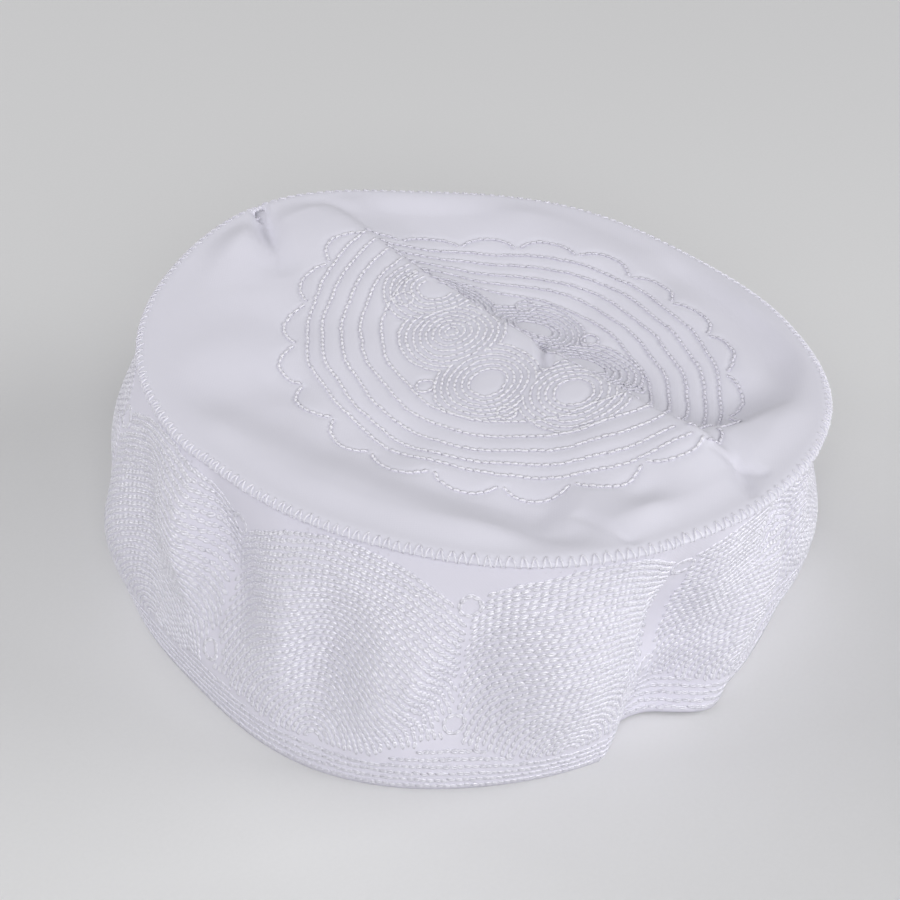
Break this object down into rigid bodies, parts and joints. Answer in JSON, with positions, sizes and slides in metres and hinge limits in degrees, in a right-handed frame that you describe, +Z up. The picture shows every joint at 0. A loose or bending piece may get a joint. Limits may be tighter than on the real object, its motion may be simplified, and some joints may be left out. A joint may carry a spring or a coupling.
{
  "type": "taqiyah",
  "caption": "Soft white round cap: a flat cotton crown with a stitched medallion, sewn by a zig-zag seam to an upright side band covered in chain-stitched fans.",
  "frame": {"origin": "on the ground plane under the middle of the cap's box, where the cap rests on its rim", "axes": "+Z up through the crown; +Y along the long way of the oval, which is also the way the crown's fold line runs; +X across the oval, to the side where the crown dips behind that line"},
  "size_m": [0.1846, 0.1898, 0.0717],
  "materials": {
    "crown_cotton": "matte plain-woven white cotton with white thread stitching",
    "band_embroidery": "white cotton covered in glossy white chain stitch"
  },
  "bodies": {
    "root": {"crown": "crown_cotton", "band": "band_embroidery"}
  },
  "joints": []
}
